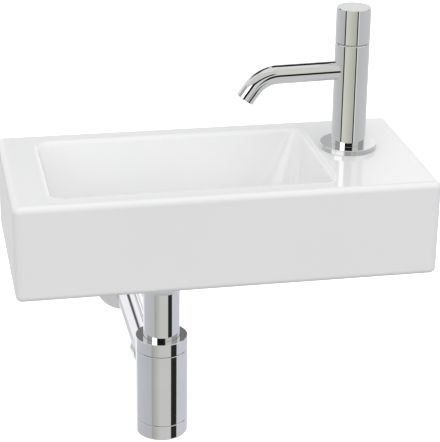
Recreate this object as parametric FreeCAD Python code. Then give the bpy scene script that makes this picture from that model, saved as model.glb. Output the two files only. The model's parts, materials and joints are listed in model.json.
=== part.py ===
import FreeCAD, Part
import math
import os
from FreeCAD import Vector as V

os.makedirs("parts", exist_ok=True)

# Wall hung hand basin with a pillar tap, a strainer waste and a bottle trap.
# Millimetres. The wall is the plane Y = 0, the front looks along -Y, +X is to the
# right, +Z is up. The origin is on the wall, midway between the two wall studs.

# ---------------------------------------------------------------- driving sizes
BASIN_W = 385.0          # width along X
BASIN_D = 185.0          # depth from the wall
BASIN_H = 90.0           # height of the ceramic block
STUD_DROP = 66.0         # wall studs below the top face
TOP = STUD_DROP          # z of the top face
BOT = TOP - BASIN_H      # z of the bottom edge
EDGE_R_CORNER = 6.5      # upright outer corners, front
EDGE_R = 5.5             # top and bottom outer edges
WALL_T = 10.0            # outer ceramic walls
DECK_T = 12.0            # tap deck thickness
BACK_T = 11.0            # back wall
BOWL_T = 10.0            # ceramic under the bowl
BOWL_SIDE_T = 12.0       # ceramic around the bowl

BOWL_XC, BOWL_YC = -29.0, -93.2      # centre of the bowl opening
BOWL_HX, BOWL_HY = 128.2, 71.0       # half sizes of the bowl opening
BOWL_R = 10.5                        # its corner radius
FLOOR_LOW = 60.0                     # depth of the floor
FLOOR_EDGE_R = 12.0                  # rounding between walls and floor
BOWL_LEAN = 0.21                     # how far the walls lean in for each mm of depth
SEAT_LOW = 65.0                      # depth of the recess for the strainer
RIM_R = 5.5                          # rounding of the bowl's rim

DRAIN_X, DRAIN_Y = -48.5, -92.0      # axis of waste, inlet tube and trap
DRAIN_HOLE_R = 22.5

TAP_X, TAP_Y = 132.5, -80.0          # tap axis
TAP_HOLE_R = 17.5
SPOUT_TURN = 3.8                     # degrees, spout aims at the drain
TAP_R = 16.0                         # pillar and knob radius
TAP_FLANGE_R = 26.8
TAP_FLANGE_T = 5.3
PILLAR_TOP = 102.6                   # above the deck
KNOB_LOW = 103.4
KNOB_TOP = 136.6
SPOUT_Z = 76.7
SPOUT_RUN = 71.5
SPOUT_BEND_R = 30.3
SPOUT_BEND = 54.0
SPOUT_TIP = 11.5
SPOUT_R, SPOUT_RI = 8.9, 7.2

STUD_X = 95.0                        # half the stud spacing
STUD_R = 4.0                         # shank that enters the wall plug
STUD_THREAD_R = 3.6                  # thread for the nut, at its pitch radius
STUD_OUT = 45.0                      # stud length beyond the wall plane

INLET_R = 17.5
RING_TOP = -177.0                    # heights below the top face
SEAM_HIGH = -190.5
SEAM_LOW = -265.0
TRAP_LOW = -281.0
TRAP_R = 25.2
OUTLET_Z = -211.0
OUTLET_TURN = 8.5                    # degrees, outlet branch turned to the left
OUTLET_R = 14.0
SPIGOT_OUT = 140.0                   # end of the outlet tube beyond the wall plane
ROSETTE_Y = 105.0                    # the rosette as supplied, pushed back on the tube
ROSETTE_R = 32.0


def save(shape, name):
    if shape.ShapeType == "Compound" and len(shape.Solids) == 1:
        shape = shape.Solids[0]
    ok = shape.isValid() and all(s.Volume > 0 for s in shape.Solids)
    print("%-22s solids %d  vol %10.1f  valid %s" % (name, len(shape.Solids), shape.Volume, ok))
    shape.exportStep("parts/%s.step" % name)
    return shape


def cyl(r, z0, z1, x=0.0, y=0.0):
    return Part.makeCylinder(r, abs(z1 - z0), V(x, y, min(z0, z1)), V(0, 0, 1))


def rod(r, p, q):
    d = q.sub(p)
    return Part.makeCylinder(r, d.Length, p, d)


def turned(points, x=0.0, y=0.0):
    """Solid turned about the upright axis through x, y from (radius, z) points."""
    pts = [V(r, 0, z) for r, z in points]
    face = Part.Face(Part.makePolygon(pts + [pts[0]]))
    s = face.revolve(V(0, 0, 0), V(0, 0, 1), 360)
    s.translate(V(x, y, 0))
    return s


def turned_about(points, origin, axis):
    """Solid turned about any axis from (radius, distance along the axis) points."""
    s = turned(points)
    rot = FreeCAD.Rotation(V(0, 0, 1), axis)
    s.Placement = FreeCAD.Placement(origin, rot)
    return Part.makeCompound([s]).Solids[0]


def hexagon(af, z0, z1, x=0.0, y=0.0, turn=0.0):
    rc = af / math.sqrt(3.0)
    pts = [V(x + rc * math.cos(math.radians(60 * k + turn)), y + rc * math.sin(math.radians(60 * k + turn)), z0)
           for k in range(6)]
    prism = Part.Face(Part.makePolygon(pts + [pts[0]])).extrude(V(0, 0, z1 - z0))
    # chamfered corners, as a turned nut has
    lo, hi = min(z0, z1), max(z0, z1)
    c = rc - af / 2.0
    cone = turned([(0, lo), (af / 2.0 + 0.2, lo), (rc + 0.05, lo + c * 0.6), (rc + 0.05, hi - c * 0.6),
                   (af / 2.0 + 0.2, hi), (0, hi)], x, y)
    return prism.common(cone)


def rounded_wire(xc, yc, hx, hy, r, z):
    """Closed wire of four lines and four arcs, always in the same order."""
    r = min(r, hx - 0.02, hy - 0.02)
    edges = []
    cx = [xc + hx - r, xc - hx + r, xc - hx + r, xc + hx - r]
    cy = [yc + hy - r, yc + hy - r, yc - hy + r, yc - hy + r]
    pts = []
    for k in range(4):
        a0 = math.radians(90 * k)
        a1 = math.radians(90 * k + 45)
        a2 = math.radians(90 * k + 90)
        pts.append([V(cx[k] + r * math.cos(a), cy[k] + r * math.sin(a), z) for a in (a0, a1, a2)])
    for k in range(4):
        edges.append(Part.Arc(*pts[k]).toShape())
        edges.append(Part.LineSegment(pts[k][2], pts[(k + 1) % 4][0]).toShape())
    return Part.Wire(edges)


def bowl_solid(grow, drop, top, floor_r):
    """The bowl's space: walls that lean in, upright corners that get rounder towards
    the floor, and a rounded edge between walls and floor. grow widens and drop lowers
    it, which gives the outside of the ceramic around it."""
    lean = BOWL_LEAN * FLOOR_LOW
    rim = rounded_wire(BOWL_XC, BOWL_YC, BOWL_HX + grow, BOWL_HY + grow, BOWL_R + grow, TOP + top)
    low = TOP - FLOOR_LOW - drop
    foot = rounded_wire(BOWL_XC, BOWL_YC, BOWL_HX + grow - lean, BOWL_HY + grow - lean,
                        BOWL_R + grow + 0.45 * FLOOR_LOW, low)
    s = Part.makeLoft([rim, foot], True, True)
    return s.makeFillet(floor_r, [e for e in s.Edges if abs(e.BoundBox.ZMax - low) < 0.01])


# ---------------------------------------------------------------- ceramic basin
def make_basin():
    w, d = BASIN_W / 2.0, BASIN_D
    body = Part.makeBox(BASIN_W, d, BASIN_H, V(-w, -d, BOT))
    up = [e for e in body.Edges if abs(e.BoundBox.ZLength - BASIN_H) < 0.1]
    front = [e for e in up if e.BoundBox.YMin < -d + 1]
    back = [e for e in up if e.BoundBox.YMin > -1]
    body = body.makeFillet(EDGE_R_CORNER, front)
    up = [e for e in body.Edges if abs(e.BoundBox.ZLength - BASIN_H) < 0.1 and e.BoundBox.YMin > -1]
    body = body.makeFillet(3.0, up)
    loops = [e for e in body.Edges if e.BoundBox.ZLength < 0.1]
    body = body.makeFillet(EDGE_R, loops)

    # hollow underneath; what is left around the bowl is its wall, which runs into
    # the front and the back near the rim
    hollow = Part.makeBox(BASIN_W - 2 * WALL_T, d - WALL_T - BACK_T, BASIN_H - DECK_T + 1,
                          V(-w + WALL_T, -d + WALL_T, BOT - 1))
    e1 = [e for e in hollow.Edges if e.BoundBox.ZLength > 10 or e.BoundBox.ZMin > TOP - DECK_T - 1]
    hollow = hollow.makeFillet(7.0, e1)
    hollow = hollow.cut(bowl_solid(BOWL_SIDE_T, BOWL_T, 0.5, FLOOR_EDGE_R + 6.0))
    body = body.cut(hollow)

    # the floor dips towards the waste
    dish = Part.makeCone(32.3, 46.0, 1.8, V(DRAIN_X, DRAIN_Y, TOP - FLOOR_LOW - 1.8), V(0, 0, 1))
    body = body.cut(bowl_solid(0.0, 0.0, 0.0, FLOOR_EDGE_R).fuse(dish).removeSplitter())
    rim = [e for e in body.Edges
           if abs(e.BoundBox.ZMin - TOP) < 0.01 and abs(e.BoundBox.ZMax - TOP) < 0.01
           and e.BoundBox.XMin > BOWL_XC - BOWL_HX - 1 and e.BoundBox.XMax < BOWL_XC + BOWL_HX + 1
           and e.BoundBox.YMin > BOWL_YC - BOWL_HY - 1 and e.BoundBox.YMax < BOWL_YC + BOWL_HY + 1]
    body = body.makeFillet(RIM_R, rim)

    # drain: recess for the strainer, hole, flat seat below
    body = body.cut(cyl(32.3, TOP - SEAT_LOW, TOP - 50, DRAIN_X, DRAIN_Y))
    body = body.cut(cyl(DRAIN_HOLE_R, TOP - 80, TOP - 60, DRAIN_X, DRAIN_Y))
    # tap hole
    body = body.cut(cyl(TAP_HOLE_R, TOP - 20, TOP + 5, TAP_X, TAP_Y))
    # holes for the wall studs
    for sx in (-1, 1):
        body = body.cut(rod(7.0, V(sx * STUD_X, -20, 0), V(sx * STUD_X, 5, 0)))
    if len(body.Solids) > 1:
        body = max(body.Solids, key=lambda s: s.Volume)
    return save(body, "basin_body")


# ---------------------------------------------------------------- wall fixings
def make_fixings():
    studs, nuts, sleeves = [], [], []
    for sx in (-1, 1):
        o = V(sx * STUD_X, 0, 0)
        ay = V(0, 1, 0)
        studs.append(turned_about([(0, -22.3), (3.0, -22.3), (STUD_THREAD_R, -21.7), (STUD_THREAD_R, -0.9),
                                   (STUD_R, -0.4), (STUD_R, STUD_OUT - 9), (1.2, STUD_OUT), (0, STUD_OUT)], o, ay))
        nut = hexagon(13.0, 0, 6.5)
        nut = nut.cut(cyl(STUD_THREAD_R + 0.02, -1, 8))
        nut.Placement = FreeCAD.Placement(V(sx * STUD_X, -20.6, 0), FreeCAD.Rotation(V(0, 0, 1), ay))
        nuts.append(Part.makeCompound([nut]).Solids[0])
        sleeves.append(turned_about([(STUD_THREAD_R + 0.1, -14.0), (10.5, -14.0), (10.5, -12.2), (9.6, -11.05),
                                     (6.9, -11.05), (6.9, -1.1), (STUD_THREAD_R + 0.1, -1.1)], o, ay))
    save(Part.makeCompound(studs), "wall_studs")
    save(Part.makeCompound(nuts), "stud_nuts")
    save(Part.makeCompound(sleeves), "stud_sleeves")


# ---------------------------------------------------------------- waste
def make_waste():
    x, y = DRAIN_X, DRAIN_Y
    z = TOP
    seat = z - SEAT_LOW
    save(turned([(22.8, seat), (30.5, seat), (30.5, seat + 1.3), (22.8, seat + 1.3)], x, y), "waste_top_seal")
    # strainer: dished flange with a slotted plate
    f = seat + 1.3
    st = turned([(3.1, f - 2.2), (20.6, f - 2.2), (20.6, f), (31.3, f), (31.6, f + 0.5), (31.0, f + 1.6),
                 (28.6, f + 2.3), (25.5, f + 1.9), (21.0, f + 0.2), (5.4, f + 0.2), (3.1, f - 1.6)], x, y)
    for k in range(12):
        r0, r1, h = 9.6, 18.6, 1.6
        flat = Part.Wire([Part.LineSegment(V(r0, -h, f - 5), V(r1, -h, f - 5)).toShape(),
                          Part.Arc(V(r1, -h, f - 5), V(r1 + h, 0, f - 5), V(r1, h, f - 5)).toShape(),
                          Part.LineSegment(V(r1, h, f - 5), V(r0, h, f - 5)).toShape(),
                          Part.Arc(V(r0, h, f - 5), V(r0 - h, 0, f - 5), V(r0, -h, f - 5)).toShape()])
        slot = Part.Face(flat).extrude(V(0, 0, 8))
        slot.rotate(V(0, 0, 0), V(0, 0, 1), 30 * k)
        slot.translate(V(x, y, 0))
        st = st.cut(slot)
    save(st, "waste_strainer")
    # centre screw, slotted head
    sc = turned([(0, f - 17.5), (2.3, f - 17.5), (3.0, f - 16.8), (3.0, f - 1.6), (5.2, f + 0.15), (5.0, f + 0.5), (0, f + 0.5)], x, y)
    sc = sc.cut(Part.makeBox(12, 1.2, 1.4, V(x - 6, y - 0.6, f - 0.7)))
    save(sc, "waste_screw")
    # rubber under the ceramic and the tail with its bridge
    low = z - FLOOR_LOW - BOWL_T
    save(turned([(22.7, low), (28.6, low), (28.6, low - 2.6), (22.7, low - 2.6)], x, y), "waste_bottom_seal")
    lf = low - 2.6
    tail_end = z - 111.8
    tail = turned([(18.4, lf + 4.0), (22.0, lf + 4.0), (22.0, lf), (29.2, lf), (29.6, lf - 0.6), (29.6, lf - 3.2),
                   (28.8, lf - 4.0), (20.9, lf - 4.0), (20.9, tail_end + 0.8), (20.2, tail_end),
                   (18.4, tail_end)], x, y)
    bridge = Part.makeBox(37.4, 6.0, 6.0, V(x - 18.7, y - 3.0, f - 16.0))
    tail = tail.fuse(bridge).cut(cyl(3.02, f - 30, f + 3, x, y)).removeSplitter()
    save(tail, "waste_tail")


# ---------------------------------------------------------------- bottle trap
def make_trap():
    x, y, z = DRAIN_X, DRAIN_Y, TOP
    # coupling nut: cylinder with a tapered foot that closes on the tube
    save(turned([(21.0, z - 97.2), (24.4, z - 97.2), (25.0, z - 97.8), (25.0, z - 120.4), (24.2, z - 122.2),
                 (19.6, z - 127.2), (18.9, z - 127.6), (17.6, z - 127.6), (17.6, z - 117.5),
                 (21.0, z - 117.5)], x, y), "coupling_nut")
    save(turned([(16.9, z - 111.9), (20.7, z - 111.9), (20.7, z - 114.1), (16.9, z - 114.1)], x, y), "coupling_seal")
    save(turned([(16.4, z - 114.2), (20.6, z - 114.2), (20.6, z - 117.4), (INLET_R, z - 117.4), (INLET_R, z - 268.0),
                 (16.4, z - 268.0)], x, y), "inlet_tube")
    # ring nut on the trap's neck
    save(turned([(17.75, z + RING_TOP), (24.7, z + RING_TOP), (TRAP_R, z + RING_TOP - 0.5), (TRAP_R, z + SEAM_HIGH + 0.6),
                 (24.8, z + SEAM_HIGH + 0.2), (23.15, z + SEAM_HIGH + 0.2), (23.15, z + RING_TOP - 3.6),
                 (17.75, z + RING_TOP - 3.6)], x, y), "trap_ring_nut")
    save(turned([(17.55, z + RING_TOP - 3.7), (22.9, z + RING_TOP - 3.7), (22.9, z + RING_TOP - 6.4),
                 (20.3, z + RING_TOP - 6.4), (19.0, z + RING_TOP - 10.6), (17.55, z + RING_TOP - 10.6)], x, y),
         "trap_ring_seal")
    # body: neck, cylinder, outlet branch
    body = turned([(20.5, z + RING_TOP - 6.5), (23.0, z + RING_TOP - 6.5), (23.0, z + SEAM_HIGH - 0.2),
                   (24.8, z + SEAM_HIGH - 0.2), (TRAP_R, z + SEAM_HIGH - 0.6), (TRAP_R, z + SEAM_LOW + 0.4),
                   (24.9, z + SEAM_LOW), (22.9, z + SEAM_LOW), (22.9, z + SEAM_HIGH - 1.0),
                   (20.5, z + SEAM_HIGH + 1.4)], x, y)
    a = math.radians(OUTLET_TURN)
    u = V(-math.sin(a), math.cos(a), 0)
    o = V(x, y, z + OUTLET_Z)
    branch = rod(16.7, o + u * 20.0, o + u * 36.0)
    body = body.fuse(branch)
    body = body.cut(rod(OUTLET_R + 0.05, o + u * 10.0, o + u * 40.0))
    body = body.cut(cyl(22.9, z + SEAM_LOW + 1, z + SEAM_HIGH - 1.0, x, y)).removeSplitter()
    save(body, "trap_body")
    # bottom cap, screwed into the body, with its seal
    cap = turned([(0, z + TRAP_LOW), (TRAP_R, z + TRAP_LOW), (TRAP_R, z + SEAM_LOW - 0.8), (24.8, z + SEAM_LOW - 0.4),
                  (24.5, z + SEAM_LOW - 0.4), (24.5, z + SEAM_LOW - 1.3), (22.8, z + SEAM_LOW - 1.3),
                  (22.8, z + SEAM_LOW + 7.6), (22.2, z + SEAM_LOW + 8.2), (20.2, z + SEAM_LOW + 8.2),
                  (20.2, z + TRAP_LOW + 2.2), (0, z + TRAP_LOW + 2.2)], x, y)
    foot = [e for e in cap.Edges if abs(e.BoundBox.ZMax - (z + TRAP_LOW)) < 0.01 and e.BoundBox.XLength > 2 * TRAP_R - 1]
    cap = cap.makeFillet(1.9, foot)
    save(cap, "trap_cap")
    save(turned([(22.95, z + SEAM_LOW - 0.05), (24.3, z + SEAM_LOW - 0.05), (24.3, z + SEAM_LOW - 1.25),
                 (22.95, z + SEAM_LOW - 1.25)], x, y), "trap_cap_seal")
    # outlet nut and its cone seal
    save(turned_about([(16.8, 30.0), (18.0, 30.0), (18.6, 30.6), (18.6, 44.4), (17.4, 46.2), (14.3, 46.2),
                       (14.3, 40.4), (16.8, 40.4)], o, u), "outlet_nut")
    save(turned_about([(14.05, 36.1), (16.7, 36.1), (16.7, 38.0), (15.4, 40.3), (14.05, 40.3)], o, u), "outlet_seal")
    # outlet tube: along the branch, one easy bend, then square into the wall
    start = o + u * 27.0
    kink = o + u * 51.0
    r_bend = 60.0
    t = r_bend * math.tan(a / 2.0)
    b0 = kink - u * t
    b1 = kink + V(0, t, 0)
    end = V(kink.x, SPIGOT_OUT, kink.z)
    centre = b1 + V(-r_bend, 0, 0)
    # the arc's middle point
    mid_ang = a / 2.0
    centre = b1 + V(r_bend, 0, 0)
    mid = centre + V(-r_bend * math.cos(mid_ang), -r_bend * math.sin(mid_ang), 0)
    path = Part.Wire([Part.LineSegment(start, b0).toShape(), Part.Arc(b0, mid, b1).toShape(),
                      Part.LineSegment(b1, end).toShape()])
    def sweep(r):
        c = Part.Wire([Part.Circle(start, u, r).toShape()])
        return path.makePipeShell([c], True, False)
    tube = sweep(OUTLET_R).cut(sweep(OUTLET_R - 1.1))
    # rolled line that shows how far the tube goes into the wall
    m0 = ROSETTE_Y + 3.0
    mark = rod(OUTLET_R + 2.0, V(kink.x, m0, kink.z), V(kink.x, m0 + 1.4, kink.z))
    tube = tube.cut(mark.cut(rod(OUTLET_R - 0.4, V(kink.x, m0 - 1.0, kink.z), V(kink.x, m0 + 3.0, kink.z))))
    print("outlet tube length", path.Length, "area check", math.pi * (OUTLET_R ** 2 - (OUTLET_R - 1.1) ** 2) * path.Length)
    save(tube, "outlet_tube")
    # rosette and its rubber ring; they slide on the tube, forward to the wall plane
    ro = V(kink.x, ROSETTE_Y, kink.z)
    ay = V(0, -1, 0)
    save(turned_about([(ROSETTE_R - 1.4, 0.0), (ROSETTE_R, 0.0), (ROSETTE_R, 1.6), (ROSETTE_R - 0.9, 2.9),
                       (27.0, 5.6), (21.0, 7.8), (17.6, 8.8), (16.6, 9.6), (15.7, 9.6), (15.7, 4.6), (16.9, 4.6),
                       (16.9, 7.4), (21.0, 6.4), (27.0, 4.2), (ROSETTE_R - 1.4, 1.9)], ro, ay), "wall_rosette")
    save(turned_about([(14.03, 4.8), (15.65, 4.8), (15.65, 9.4), (14.9, 9.9), (14.03, 9.9)], ro, ay), "rosette_ring")
    return kink


# ---------------------------------------------------------------- tap
def make_tap():
    x, y, z = TAP_X, TAP_Y, TOP
    t = TAP_FLANGE_T
    fl = turned([(10.7, z + 1.3), (25.6, z + 1.3), (25.6, z), (26.5, z), (TAP_FLANGE_R, z + 0.4),
                 (TAP_FLANGE_R, z + t - 0.4), (TAP_FLANGE_R - 0.4, z + t), (10.7, z + t)], x, y)
    save(fl, "tap_base_flange")
    save(turned([(12.0, z), (25.4, z), (25.4, z + 1.25), (12.0, z + 1.25)], x, y), "tap_base_gasket")

    a = math.radians(SPOUT_TURN)
    s = V(-math.cos(a), -math.sin(a), 0)
    o = V(x, y, z + SPOUT_Z)
    pt = z + PILLAR_TOP
    body = turned([(10.5, z + t), (15.7, z + t), (TAP_R, z + t + 0.3), (TAP_R, pt - 0.5), (TAP_R - 0.5, pt), (15.3, pt),
                   (15.3, pt - 0.6), (13.0, pt - 0.6), (13.0, z + 92.0), (12.5, z + 91.5), (12.5, z + 58.0),
                   (6.0, z + 58.0), (6.0, z + 19.5), (10.5, z + 19.5)], x, y)
    body = body.cut(rod(SPOUT_R + 0.03, o + s * 8.0, o + s * 18.0))
    save(body, "tap_body")

    # spout: straight run, one bend, short straight tip
    p0 = o + s * 12.9
    p1 = o + s * SPOUT_RUN
    b = math.radians(SPOUT_BEND)
    c = p1 + V(0, 0, -SPOUT_BEND_R)
    def on_arc(ang):
        return c + s * (SPOUT_BEND_R * math.sin(ang)) + V(0, 0, SPOUT_BEND_R * math.cos(ang))
    p2 = on_arc(b)
    tip_dir = s * math.cos(b) + V(0, 0, -math.sin(b))
    p3 = p2 + tip_dir * SPOUT_TIP
    path = Part.Wire([Part.LineSegment(p0, p1).toShape(), Part.Arc(p1, on_arc(b / 2.0), p2).toShape(),
                      Part.LineSegment(p2, p3).toShape()])
    def sweep(r):
        w = Part.Wire([Part.Circle(p0, s, r).toShape()])
        return path.makePipeShell([w], True, False)
    spout = sweep(SPOUT_R).cut(sweep(SPOUT_RI))
    spout = spout.cut(rod(8.05, p3 - tip_dir * 8.0, p3 + tip_dir * 2.0))
    # where the tube meets the hollow of the pillar it follows the bore
    spout = spout.cut(cyl(12.55, z + 60, z + 92, x, y))
    print("spout length", path.Length)
    save(spout, "tap_spout")
    # aerator: seal, cage, insert
    save(turned_about([(5.0, -8.0), (7.9, -8.0), (7.9, -7.0), (5.0, -7.0)], p3, tip_dir), "aerator_seal")
    save(turned_about([(6.7, -6.95), (8.0, -6.95), (8.0, -0.5), (7.7, -0.2), (6.9, -0.2), (6.7, -0.4)], p3, tip_dir),
         "aerator_cage")
    ins = turned_about([(0, -6.9), (6.65, -6.9), (6.65, -1.2), (0, -1.2)], p3, tip_dir)
    holes = [(0, 0)] + [(2.35 * math.cos(math.radians(60 * k)), 2.35 * math.sin(math.radians(60 * k))) for k in range(6)]
    holes += [(4.75 * math.cos(math.radians(30 * k + 15)), 4.75 * math.sin(math.radians(30 * k + 15))) for k in range(12)]
    side = tip_dir.cross(V(0, 0, 1))
    side.normalize()
    other = tip_dir.cross(side)
    for hx, hy in holes:
        q = p3 + side * hx + other * hy
        ins = ins.cut(rod(0.85, q - tip_dir * 9, q + tip_dir * 1))
    save(ins, "aerator_insert")

    # headwork: seat seal, housing, two ceramic discs, spindle
    save(turned([(6.3, z + 58.05), (9.3, z + 58.05), (9.3, z + 59.2), (6.3, z + 59.2)], x, y), "headwork_seal")
    h = turned([(6.1, z + 59.25), (9.4, z + 59.25), (9.4, z + 91.9), (12.4, z + 92.2), (12.95, z + 92.8), (12.95, z + 94.8),
                (11.6, z + 94.8), (11.6, z + 96.9), (12.95, z + 96.9), (12.95, z + 100.4), (9.6, z + 100.4),
                (9.6, z + 102.1), (5.05, z + 102.1), (5.05, z + 72.2), (7.6, z + 72.2), (7.6, z + 60.6), (6.1, z + 60.6)],
               x, y)
    for sgn in (1, -1):
        h = h.cut(rod(3.0, V(x, y, z + 69.0), V(x, y, z + 69.0) + s * (12.0 * sgn)))
    save(h, "headwork_housing")
    save(turned([(11.65, z + 94.9), (12.97, z + 94.9), (12.97, z + 96.8), (11.65, z + 96.8)], x, y), "headwork_o_ring")
    fd = cyl(7.5, z + 60.65, z + 63.6, x, y)
    md = cyl(7.5, z + 63.65, z + 66.6, x, y)
    for sgn in (1, -1):
        fd = fd.cut(cyl(2.4, z + 60, z + 64, x + 4.2 * sgn, y))
        md = md.cut(cyl(2.4, z + 63, z + 67, x, y + 4.2 * sgn))
    save(fd, "fixed_ceramic_disc")
    save(md, "moving_ceramic_disc")
    sp = turned([(0, z + 66.7), (7.4, z + 66.7), (7.4, z + 71.9), (5.0, z + 71.9), (5.0, z + 84.0), (3.9, z + 84.0),
                 (3.9, z + 86.0), (5.0, z + 86.0), (5.0, z + 102.3), (4.2, z + 102.3), (4.2, z + 113.6),
                 (3.7, z + 114.1), (0, z + 114.1)], x, y)
    sp = sp.cut(Part.makeBox(6.0, 20.0, 3.6, V(x - 3.0, y - 10.0, z + 66.6)))
    sp = sp.cut(Part.makeBox(10.0, 3.0, 8.0, V(x - 5.0, y + 3.6, z + 107.0)))
    save(sp, "spindle")
    save(turned([(3.95, z + 84.1), (5.02, z + 84.1), (5.02, z + 85.9), (3.95, z + 85.9)], x, y), "spindle_o_ring")
    clip = turned([(4.25, z + 102.45), (6.9, z + 102.45), (6.9, z + 103.15), (4.25, z + 103.15)], x, y)
    clip = clip.cut(Part.makeBox(3.0, 10.0, 3.0, V(x - 1.5, y + 2.0, z + 101.5)))
    save(clip, "spindle_circlip")

    # knob: chromed shell with a boss on the spindle
    kl, kt = z + KNOB_LOW, z + KNOB_TOP
    knob = turned([(0, kt), (TAP_R - 0.6, kt), (TAP_R, kt - 0.6), (TAP_R, kl + 0.5), (TAP_R - 0.5, kl), (13.6, kl),
                   (13.6, kl + 26.5), (12.4, kl + 28.4), (7.2, kl + 28.4), (7.2, kl + 3.2), (4.24, kl + 3.2),
                   (4.24, kl + 16.0), (0, kl + 16.0)], x, y)
    knob = knob.cut(rod(2.05, V(x, y + 3.0, z + 111.0), V(x, y + 9.0, z + 111.0)))
    knob = knob.cut(rod(2.4, V(x, y + 9.0, z + 111.0), V(x, y + 20.0, z + 111.0)))
    save(knob, "tap_knob")
    grub = rod(2.0, V(x, y + 3.65, z + 111.0), V(x, y + 7.0, z + 111.0))
    hexs = hexagon(2.0, 0, 1.8)
    hexs.Placement = FreeCAD.Placement(V(x, y + 5.4, z + 111.0), FreeCAD.Rotation(V(0, 0, 1), V(0, 1, 0)))
    save(grub.cut(hexs), "knob_grub_screw")
    save(turned([(13.1, pt - 0.55), (15.2, pt - 0.55), (15.2, pt + 0.45), (13.1, pt + 0.45)], x, y), "knob_glide_ring")

    # threaded shank, washers and back nut under the deck
    save(turned([(6.5, z + 19.3), (9.8, z + 19.3), (10.4, z + 18.7), (10.4, z - 37.4), (9.6, z - 38.2), (9.6, z - 40.4),
                 (10.4, z - 41.2), (10.4, z - 61.2), (9.6, z - 62.0), (6.5, z - 62.0)], x, y), "tap_shank")
    dk = z - DECK_T
    save(turned([(10.6, dk + 8.0), (17.2, dk + 8.0), (17.2, dk), (20.0, dk), (20.0, dk - 2.6), (10.6, dk - 2.6)], x, y),
         "deck_seal_washer")
    save(turned([(10.7, dk - 2.65), (19.5, dk - 2.65), (19.5, dk - 4.2), (10.7, dk - 4.2)], x, y), "deck_steel_washer")
    nut = hexagon(27.0, dk - 13.2, dk - 4.25, x, y, 10.0)
    nut = nut.cut(cyl(10.45, dk - 20, dk, x, y))
    save(nut, "tap_back_nut")
    return p3


make_basin()
make_fixings()
make_waste()
wall_point = make_trap()
tip = make_tap()
print("spigot axis", wall_point, "spout tip", tip)
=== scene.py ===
import json
import math

import bpy
from mathutils import Matrix, Vector

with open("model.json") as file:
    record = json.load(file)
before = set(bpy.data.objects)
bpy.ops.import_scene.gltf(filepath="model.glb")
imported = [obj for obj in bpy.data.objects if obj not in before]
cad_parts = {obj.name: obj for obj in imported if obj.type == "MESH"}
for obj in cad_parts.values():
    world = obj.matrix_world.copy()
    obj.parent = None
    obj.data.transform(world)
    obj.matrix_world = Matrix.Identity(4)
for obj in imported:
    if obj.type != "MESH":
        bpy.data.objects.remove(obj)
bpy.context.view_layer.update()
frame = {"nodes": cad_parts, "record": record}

nodes = frame["nodes"]
MM = 0.001
TOP = 0.066            # height of the basin's top face
TAP = (0.1325, -0.080)
DRAIN = (-0.0485, -0.092)
scene = bpy.context.scene


# ------------------------------------------------------------------ node helpers
class Tree:
    """Short ways to add nodes to a material or to the world."""

    def __init__(self, tree):
        self.t = tree
        self.t.nodes.clear()

    def new(self, kind, **props):
        n = self.t.nodes.new(kind)
        for k, v in props.items():
            setattr(n, k, v)
        return n

    def link(self, a, b):
        self.t.links.new(a, b)

    def feed(self, value, socket):
        if isinstance(value, (int, float)):
            socket.default_value = value
        elif isinstance(value, (tuple, list)):
            socket.default_value = tuple(value) + ((1.0,) if len(value) == 3 and len(socket.default_value) == 4 else ())
        else:
            self.link(value, socket)

    def math(self, op, a, b=0.0, c=0.0, clamp=False):
        n = self.new("ShaderNodeMath", operation=op, use_clamp=clamp)
        for v, s in zip((a, b, c), n.inputs):
            self.feed(v, s)
        return n.outputs[0]

    def ramp(self, x, lo, hi, to_lo=0.0, to_hi=1.0, smooth=True):
        n = self.new("ShaderNodeMapRange", interpolation_type="SMOOTHSTEP" if smooth else "LINEAR", clamp=True)
        for v, s in zip((x, lo, hi, to_lo, to_hi), n.inputs):
            self.feed(v, s)
        return n.outputs[0]

    def noise(self, scale, detail=3.0, rough=0.5, vector=None, distortion=0.0):
        n = self.new("ShaderNodeTexNoise")
        n.inputs["Scale"].default_value = scale
        n.inputs["Detail"].default_value = detail
        n.inputs["Roughness"].default_value = rough
        n.inputs["Distortion"].default_value = distortion
        self.link(vector if vector is not None else self.position(), n.inputs["Vector"])
        return n.outputs["Fac"]

    def position(self):
        if not hasattr(self, "_pos"):
            self._pos = self.new("ShaderNodeTexCoord").outputs["Object"]
        return self._pos

    def stretched(self, sx, sy, sz):
        m = self.new("ShaderNodeMapping")
        m.inputs["Scale"].default_value = (sx, sy, sz)
        self.link(self.position(), m.inputs["Vector"])
        return m.outputs[0]

    def mix(self, fac, a, b):
        n = self.new("ShaderNodeMix", data_type="RGBA", clamp_factor=True)
        self.feed(fac, n.inputs["Factor"])
        self.feed(a, n.inputs["A"] if False else n.inputs[6])
        self.feed(b, n.inputs[7])
        return n.outputs[2]

    def bump(self, height, strength, distance, normal=None):
        n = self.new("ShaderNodeBump")
        n.inputs["Strength"].default_value = strength
        n.inputs["Distance"].default_value = distance
        self.link(height, n.inputs["Height"])
        if normal is not None:
            self.link(normal, n.inputs["Normal"])
        return n.outputs[0]


def material(name):
    m = bpy.data.materials.new(name)
    m.use_nodes = True
    t = Tree(m.node_tree)
    out = t.new("ShaderNodeOutputMaterial")
    bsdf = t.new("ShaderNodeBsdfPrincipled")
    t.link(bsdf.outputs[0], out.inputs[0])
    return m, t, bsdf


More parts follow.
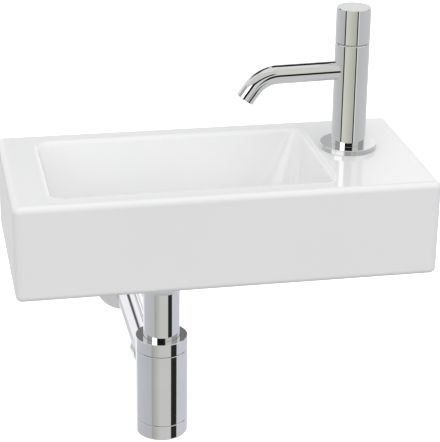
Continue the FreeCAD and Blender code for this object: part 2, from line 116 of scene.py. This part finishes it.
# ------------------------------------------------------------------ materials
def glaze():
    m, t, b = material("white_glaze")
    broad = t.noise(9.0, 3.0, 0.5)
    fine = t.noise(900.0, 2.0, 0.5)
    tone = t.mix(t.ramp(broad, 0.3, 0.7), (0.930, 0.932, 0.933), (0.944, 0.945, 0.944))
    tone = t.mix(t.ramp(fine, 0.74, 0.80, 0.0, 0.35), tone, (0.80, 0.80, 0.79))
    t.link(tone, b.inputs["Base Color"])
    t.link(t.ramp(t.noise(38.0, 3.0, 0.55), 0.3, 0.7, 0.06, 0.095), b.inputs["Roughness"])
    b.inputs["IOR"].default_value = 1.5
    b.inputs["Specular IOR Level"].default_value = 0.38
    wave = t.bump(t.noise(55.0, 2.0, 0.4), 0.05, 0.0008)
    t.link(t.bump(t.noise(420.0, 2.0, 0.5), 0.03, 0.0002, wave), b.inputs["Normal"])
    return m


def chrome(name="bright_chrome", tint=(0.79, 0.797, 0.795), rough=(0.024, 0.045)):
    m, t, b = material(name)
    b.inputs["Metallic"].default_value = 1.0
    film = t.noise(26.0, 4.0, 0.55)
    light = tuple(min(1.0, c * 1.015) for c in tint)
    dark = tuple(c * 0.985 for c in tint)
    t.link(t.mix(t.ramp(film, 0.3, 0.7), dark, light), b.inputs["Base Color"])
    t.link(t.ramp(t.noise(160.0, 3.0, 0.6), 0.3, 0.75, rough[0], rough[1]), b.inputs["Roughness"])
    t.link(t.bump(t.noise(75.0, 2.0, 0.4), 0.006, 0.0001), b.inputs["Normal"])
    return m


def brass():
    m, t, b = material("plain_brass")
    b.inputs["Metallic"].default_value = 1.0
    rings = t.noise(1.0, 2.0, 0.5, t.stretched(30.0, 30.0, 2600.0))
    cast = t.noise(45.0, 4.0, 0.6)
    c = t.mix(t.ramp(cast, 0.3, 0.7), (0.60, 0.44, 0.19), (0.74, 0.58, 0.29))
    t.link(c, b.inputs["Base Color"])
    t.link(t.ramp(rings, 0.3, 0.7, 0.24, 0.40), b.inputs["Roughness"])
    t.link(t.bump(rings, 0.25, 0.0001), b.inputs["Normal"])
    return m


def steel():
    m, t, b = material("zinc_steel")
    b.inputs["Metallic"].default_value = 1.0
    spangle = t.noise(230.0, 3.0, 0.6)
    c = t.mix(t.ramp(spangle, 0.35, 0.65), (0.53, 0.54, 0.55), (0.68, 0.69, 0.70))
    t.link(c, b.inputs["Base Color"])
    t.link(t.ramp(spangle, 0.3, 0.7, 0.28, 0.45), b.inputs["Roughness"])
    t.link(t.bump(t.noise(800.0, 2.0, 0.5), 0.15, 0.0001), b.inputs["Normal"])
    return m


def threaded(name, base, pitch, axis, rough, metal=1.0):
    """Metal with a rolled thread drawn as a fine bump of rings along one axis, its grooves also darkened with painted
    shade.
    """
    m, t, b = material(name)
    b.inputs["Metallic"].default_value = metal
    sep = t.new("ShaderNodeSeparateXYZ")
    t.link(t.position(), sep.inputs[0])
    along = sep.outputs[axis]
    wave = t.math("ABSOLUTE", t.math("SUBTRACT", t.math("FRACT", t.math("DIVIDE", along, pitch)), 0.5))
    groove_depth_and_shade = t.ramp(wave, 0.05, 0.40)
    dirt = t.noise(140.0, 3.0, 0.6)
    # dark is the colour of the painted groove shade and of the random dirt
    dark = tuple(c * 0.45 for c in base)
    # painted shade: the thread grooves are darkened in the base colour
    c = t.mix(groove_depth_and_shade, dark, base)
    c = t.mix(t.ramp(dirt, 0.45, 0.75, 0.0, 0.25), c, dark)
    t.link(c, b.inputs["Base Color"])
    t.link(t.ramp(dirt, 0.3, 0.7, rough, rough + 0.14), b.inputs["Roughness"])
    t.link(t.bump(groove_depth_and_shade, 0.9, 0.0006), b.inputs["Normal"])
    return m


def rubber(name, base):
    m, t, b = material(name)
    bloom = t.noise(60.0, 4.0, 0.6)
    light = tuple(min(1.0, c * 1.5 + 0.012) for c in base)
    t.link(t.mix(t.ramp(bloom, 0.4, 0.75), base, light), b.inputs["Base Color"])
    t.link(t.ramp(bloom, 0.3, 0.7, 0.55, 0.75), b.inputs["Roughness"])
    t.link(t.bump(t.noise(1500.0, 2.0, 0.6), 0.3, 0.0001), b.inputs["Normal"])
    return m


def plastic():
    m, t, b = material("white_plastic")
    c = t.mix(t.ramp(t.noise(50.0, 3.0), 0.3, 0.7), (0.72, 0.72, 0.70), (0.78, 0.78, 0.765))
    t.link(c, b.inputs["Base Color"])
    t.link(t.ramp(t.noise(300.0, 2.0), 0.3, 0.7, 0.38, 0.5), b.inputs["Roughness"])
    t.link(t.bump(t.noise(1200.0, 2.0), 0.15, 0.0001), b.inputs["Normal"])
    return m


def fired():
    m, t, b = material("technical_ceramic")
    c = t.mix(t.ramp(t.noise(90.0, 3.0), 0.3, 0.7), (0.70, 0.66, 0.56), (0.78, 0.75, 0.66))
    t.link(c, b.inputs["Base Color"])
    t.link(t.ramp(t.noise(500.0, 2.0), 0.3, 0.7, 0.30, 0.42), b.inputs["Roughness"])
    t.link(t.bump(t.noise(1600.0, 2.0), 0.12, 0.0001), b.inputs["Normal"])
    return m


GLAZE = glaze()
CHROME = chrome()
look = {
    "white_glaze": GLAZE,
    "bright_chrome": CHROME,
    "zinc_steel": steel(),
    "plain_brass": brass(),
    "black_rubber": rubber("black_rubber", (0.018, 0.018, 0.019)),
    "grey_rubber": rubber("grey_rubber", (0.30, 0.31, 0.31)),
    "white_plastic": plastic(),
    "technical_ceramic": fired(),
}
STUD_STEEL = threaded("stud_thread", (0.60, 0.61, 0.62), 0.00125, 1, 0.26)
SHANK_BRASS = threaded("shank_thread", (0.70, 0.54, 0.26), 0.00181, 2, 0.26)

for entry in frame["record"]["subparts"]:
    o = nodes[entry["node"]]
    o.data.materials.clear()
    o.data.materials.append(look[entry["material_slot"]])
for name, m in (("wall_studs", STUD_STEEL), ("tap_shank", SHANK_BRASS)):
    nodes[name].data.materials.clear()
    nodes[name].data.materials.append(m)


# ------------------------------------------------------------------ camera
def place_camera():
    az, el, roll = math.radians(-11.464), math.radians(22.761), math.radians(0.785)
    back = Vector((math.sin(az) * math.cos(el), -math.cos(az) * math.cos(el), math.sin(el)))
    fwd = -back
    right = fwd.cross(Vector((0, 0, 1))).normalized()
    up = right.cross(fwd).normalized()
    r2 = math.cos(roll) * right + math.sin(roll) * up
    u2 = -math.sin(roll) * right + math.cos(roll) * up
    data = bpy.data.cameras.new("camera")
    data.sensor_width = 36.0
    data.lens = 1639.6 * 36.0 / 442.0
    data.clip_start, data.clip_end = 0.05, 60.0
    cam = bpy.data.objects.new("camera", data)
    m = Matrix((r2, u2, back)).transposed().to_4x4()
    m.translation = Vector((-0.2758, -1.4889, 0.5351 + TOP))
    cam.matrix_world = m
    scene.collection.objects.link(cam)
    scene.camera = cam


place_camera()


# ------------------------------------------------------------------ floor, light
def make_floor():
    m, t, b = material("pale_floor")
    c = t.mix(t.ramp(t.noise(3.0, 2.0), 0.3, 0.7), (0.90, 0.90, 0.90), (0.92, 0.92, 0.92))
    t.link(c, b.inputs["Base Color"])
    b.inputs["Roughness"].default_value = 0.8
    b.inputs["Emission Color"].default_value = (1.0, 1.0, 1.0, 1.0)
    b.inputs["Emission Strength"].default_value = 0.75
    mesh = bpy.data.meshes.new("floor")
    s, z = 14.0, -0.80
    mesh.from_pydata([(-s, -s, z), (s, -s, z), (s, s, z), (-s, s, z)], [], [(0, 1, 2, 3)])
    mesh.materials.append(m)
    o = bpy.data.objects.new("floor", mesh)
    scene.collection.objects.link(o)
    o.visible_glossy = False
    o.visible_diffuse = False
    return o


make_floor()


def make_world():
    """White studio. What polished metal sees of it has soft cards and black flags at fixed directions.

    Azimuth is 0 towards the front (-Y), positive towards +X; both angles are in degrees."""
    w = bpy.data.worlds.new("studio")
    w.use_nodes = True
    scene.world = w
    t = Tree(w.node_tree)
    out = t.new("ShaderNodeOutputWorld")
    direction = t.new("ShaderNodeTexCoord").outputs["Generated"]
    sep = t.new("ShaderNodeSeparateXYZ")
    t.link(direction, sep.inputs[0])
    x, y, z = sep.outputs
    az = t.math("MULTIPLY", t.math("ARCTAN2", x, t.math("MULTIPLY", y, -1.0)), 57.29578)
    el = t.math("MULTIPLY", t.math("ARCSINE", z), 57.29578)

    def window(a0, a1, e0, e1, soft_a=1.5, soft_e=1.5):
        m = t.math("MULTIPLY", t.ramp(az, a0 - soft_a / 2, a0 + soft_a / 2),
                   t.ramp(az, a1 - soft_a / 2, a1 + soft_a / 2, 1.0, 0.0))
        e = t.math("MULTIPLY", t.ramp(el, e0 - soft_e / 2, e0 + soft_e / 2),
                   t.ramp(el, e1 - soft_e / 2, e1 + soft_e / 2, 1.0, 0.0))
        return t.math("MULTIPLY", m, e)

    def patch(colour, a0, a1, e0, e1, tint, soft_a=1.5, soft_e=1.5):
        return t.mix(window(a0, a1, e0, e1, soft_a, soft_e), colour, tint)

    def fade(colour, a0, a1, e0, e1, left, right, soft_a=1.5, soft_e=1.5):
        tint = t.mix(t.ramp(az, a0, a1, smooth=False), left, right)
        return t.mix(window(a0, a1, e0, e1, soft_a, soft_e), colour, tint)

    def grey(v, cool=0.0):
        return (v * (1.0 - cool), v, v * (1.0 + cool))

    black = (0.012, 0.013, 0.014)
    c = t.mix(t.ramp(el, -30.0, 50.0), grey(0.66, 0.012), grey(0.86))
    # above the horizon: white cards either side of a black one, grey beyond them
    c = patch(c, -112.0, 112.0, 16.0, 31.0, grey(0.44), 6.0, 2.0)
    c = patch(c, -70.0, -38.0, 18.0, 29.5, grey(2.3), 2.0, 1.5)
    c = patch(c, -37.0, 14.0, 17.0, 30.0, black, 2.0, 2.0)
    c = patch(c, 17.0, 58.0, 3.5, 78.0, (0.74, 0.74, 0.69), 2.0, 3.0)
    # what the spout's bend sees: the beige card goes on over it, a black flag behind and one below
    c = patch(c, -100.0, 18.0, 31.5, 70.0, (0.70, 0.70, 0.655), 3.0, 2.0)
    c = patch(c, -181.0, -134.0, 31.5, 57.0, black, 2.0, 2.0)
    c = patch(c, -46.0, -15.0, 7.0, 17.5, black, 2.0, 1.5)
    # behind: white, with a grey card low over the horizon and a black flag higher up
    c = patch(c, -181.0, -140.0, -11.0, 19.0, (1.06, 1.04, 1.11), 8.0, 6.0)
    c = patch(c, 140.0, 181.0, -7.0, 12.0, grey(1.15), 6.0, 2.0)
    c = patch(c, 140.0, 181.0, 12.0, 17.6, grey(0.86), 6.0, 1.0)
    c = patch(c, 163.3, 181.0, 18.2, 23.5, grey(0.52, 0.02), 1.0, 1.2)
    c = patch(c, -172.0, -158.0, 20.0, 25.0, grey(0.12), 1.5, 1.5)
    c = patch(c, -181.0, -172.5, 22.0, 30.0, (1.08, 1.06, 1.14), 1.0, 1.5)
    c = patch(c, 172.6, 181.0, 24.0, 30.0, (1.08, 1.06, 1.14), 0.6, 1.0)
    c = patch(c, 169.0, 172.2, 26.0, 28.0, grey(0.20), 0.6, 0.6)
    c = patch(c, 110.0, 175.0, 29.5, 63.0, black, 3.0, 1.5)
    c = patch(c, 140.0, 163.0, 18.2, 25.0, grey(1.25), 3.0, 1.5)
    # what upright tubes above the basin see
    low, cut = -20.16, 0.14

    def tall(colour, a0, a1, e1, tint, soft_a, soft_e, right=None):
        m = t.math("MULTIPLY", t.ramp(az, a0 - soft_a / 2, a0 + soft_a / 2),
                   t.ramp(az, a1 - soft_a / 2, a1 + soft_a / 2, 1.0, 0.0))
        e = t.math("MULTIPLY", t.ramp(el, low - cut / 2, low + cut / 2),
                   t.ramp(el, e1 - soft_e / 2, e1 + soft_e / 2, 1.0, 0.0))
        if right is not None:
            tint = t.mix(t.ramp(az, a0, a1, smooth=False), tint, right)
        return t.mix(t.math("MULTIPLY", m, e), colour, tint)

    c = tall(c, -181.0, -69.0, -14.0, grey(0.72, 0.01), 1.0, 1.5, grey(0.54, 0.02))
    c = tall(c, -70.5, -62.0, -14.0, grey(0.02), 2.0, 1.5)
    c = tall(c, -61.5, 12.0, -14.0, (0.76, 0.76, 0.675), 1.5, 1.5, (0.50, 0.50, 0.445))
    c = tall(c, 11.0, 18.5, -14.0, black, 1.0, 1.5)
    c = patch(c, 11.0, 34.0, -11.5, 6.0, black, 1.0, 1.5)
    c = tall(c, 20.0, 25.0, -12.0, grey(0.84), 2.0, 2.0)
    c = tall(c, 27.0, 120.0, -14.0, grey(0.59, 0.012), 3.0, 1.5, grey(0.66, 0.012))
    # what the side of the base flange sees
    c = patch(c, -150.0, 150.0, -22.2, low, grey(0.50, 0.012), 30.0, cut)
    c = patch(c, -84.0, -30.0, -22.2, low, grey(1.15), 12.0, cut)
    c = patch(c, -28.0, -2.0, -22.2, low, grey(0.36), 6.0, cut)
    # what the trap below the basin sees
    c = fade(c, -181.0, -54.0, -36.0, -22.3, (0.66, 0.665, 0.715), (0.55, 0.56, 0.59), 1.0, 1.5)
    c = fade(c, -54.0, -14.0, -36.0, -22.3, (0.42, 0.42, 0.41), (0.67, 0.67, 0.65), 1.0, 1.5)
    c = patch(c, -14.0, 31.0, -36.0, -22.3, (0.67, 0.67, 0.65), 1.0, 1.5)
    c = patch(c, 33.0, 61.0, -36.0, -22.3, grey(0.025), 1.5, 1.0)
    c = patch(c, 63.0, 181.0, -36.0, -22.3, (0.68, 0.69, 0.75), 2.0, 1.5)
    # a plain sheet low behind on the left
    c = patch(c, -181.0, -148.0, -25.3, -14.0, grey(0.72), 1.0, 1.5)
    c = patch(c, -181.0, -148.0, -38.0, -25.3, (1.06, 1.04, 1.11), 8.0, 1.5)

    diffuse = t.new("ShaderNodeBackground")
    grad = t.math("ADD", t.ramp(el, -8.0, 4.0, DIFFUSE_LOW, DIFFUSE_SIDE),
                  t.ramp(el, 35.0, 65.0, 0.0, DIFFUSE_TOP - DIFFUSE_SIDE))
    ahead = t.math("MULTIPLY", t.ramp(t.math("ABSOLUTE", az), 50.0, 100.0, 1.0, 0.0),
                   t.math("MULTIPLY", t.ramp(el, 0.0, 15.0), t.ramp(el, 45.0, 65.0, 1.0, 0.0)))
    grad = t.math("ADD", grad, t.math("MULTIPLY", ahead, DIFFUSE_AHEAD))
    t.link(grad, diffuse.inputs["Strength"])
    diffuse.inputs["Color"].default_value = (1, 1, 1, 1)
    shiny = t.new("ShaderNodeBackground")
    t.link(c, shiny.inputs["Color"])
    seen = t.new("ShaderNodeBackground")
    seen.inputs["Color"].default_value = (1.2, 1.2, 1.2, 1)
    path = t.new("ShaderNodeLightPath")
    m1 = t.new("ShaderNodeMixShader")
    t.link(path.outputs["Is Glossy Ray"], m1.inputs[0])
    t.link(diffuse.outputs[0], m1.inputs[1])
    t.link(shiny.outputs[0], m1.inputs[2])
    m2 = t.new("ShaderNodeMixShader")
    t.link(path.outputs["Is Camera Ray"], m2.inputs[0])
    t.link(m1.outputs[0], m2.inputs[1])
    t.link(seen.outputs[0], m2.inputs[2])
    t.link(m2.outputs[0], out.inputs[0])


DIFFUSE_LOW, DIFFUSE_SIDE, DIFFUSE_TOP, DIFFUSE_AHEAD = 0.37, 0.77, 0.67, 0.48
make_world()


def area(name, loc, target, size, power, glossy=True):
    d = bpy.data.lights.new(name, "AREA")
    d.shape = "RECTANGLE"
    d.size, d.size_y = size
    d.energy = power
    o = bpy.data.objects.new(name, d)
    o.location = loc
    o.rotation_mode = "QUATERNION"
    o.rotation_quaternion = (Vector(target) - Vector(loc)).to_track_quat("-Z", "Y")
    o.visible_glossy = glossy
    o.visible_camera = False
    scene.collection.objects.link(o)
    return o


area("overhead_softbox", (-0.15, -1.15, 2.55), (0.0, -0.1, 0), (1.9, 1.5), 6.0, glossy=False)

# the polished metal shows the studio and its own kind, not the white basin and what is hidden inside
mirrored = ("tap_body", "tap_knob", "tap_base_flange", "trap_body", "trap_cap", "trap_ring_nut", "inlet_tube",
            "coupling_nut", "outlet_tube", "outlet_nut", "wall_rosette", "rosette_ring")
for name, o in nodes.items():
    o.visible_glossy = name in mirrored

scene.view_settings.view_transform = "Standard"
scene.view_settings.look = "None"
